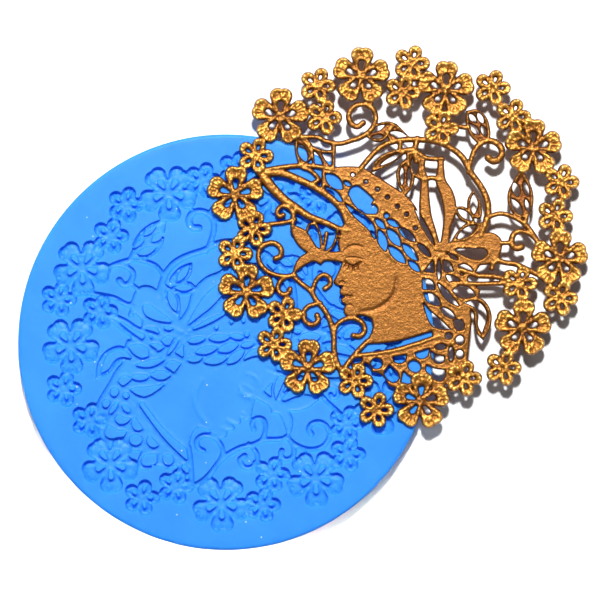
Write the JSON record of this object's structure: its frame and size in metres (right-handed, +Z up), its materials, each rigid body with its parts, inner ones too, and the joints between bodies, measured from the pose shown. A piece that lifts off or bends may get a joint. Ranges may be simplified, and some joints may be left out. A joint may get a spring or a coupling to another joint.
{
  "type": "resin casting mould",
  "caption": "Round open-face silicone mould with a shallow openwork medallion cavity, and the thin resin medallion cast in it lying across its edge.",
  "frame": {"origin": "centre of the mould's flat round underside", "axes": "+Z up, out of the open face that holds the cavity; the casting lies towards +X and +Y"},
  "size_m": [0.137, 0.1213, 0.0067],
  "materials": {
    "silicone": "satin silicone rubber",
    "gold_resin": "brushed gold paint on resin"
  },
  "bodies": {
    "mould": {"silicone_mould": "silicone"},
    "casting": {"lace_casting": "gold_resin"}
  },
  "joints": [
    {"name": "casting_lift", "type": "slide", "parent": "mould", "child": "casting", "axis": [0, 0, 1], "range_m": [0, 0.06]}
  ]
}
